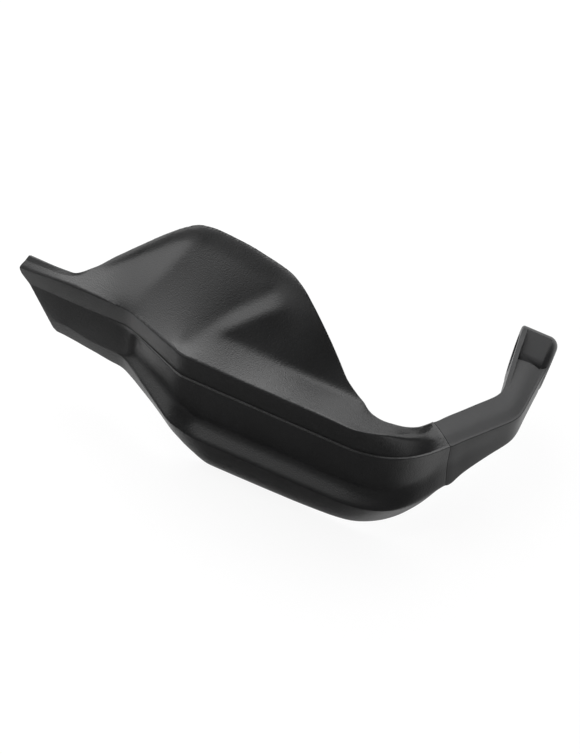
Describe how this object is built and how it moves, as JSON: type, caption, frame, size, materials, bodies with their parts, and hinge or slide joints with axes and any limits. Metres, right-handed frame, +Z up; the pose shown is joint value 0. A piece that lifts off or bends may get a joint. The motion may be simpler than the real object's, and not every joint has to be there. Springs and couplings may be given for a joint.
{
  "type": "motorcycle hand guard",
  "caption": "Left motorcycle hand guard: a faceted moulded shell with an upswept blade, closed to the bar end by a bent support arm with an eye for the bar-end bolt.",
  "frame": {"origin": "centre of the bar-end bush's bore, on the seat that meets the end of the handlebar", "axes": "+X outboard along the end of the handlebar, +Y towards the rider, +Z up"},
  "size_m": [0.2977, 0.1476, 0.1342],
  "materials": {
    "shell_plastic": "fine grain",
    "arm_plastic": "satin",
    "bush_steel": "turned",
    "insert_brass": "turned",
    "screw_steel": "dark zinc"
  },
  "bodies": {
    "root": {"guard_shell": "shell_plastic", "support_arm": "arm_plastic", "bar_end_bush": "bush_steel", "inboard_inserts": "insert_brass", "arm_screws": "screw_steel"}
  },
  "joints": []
}
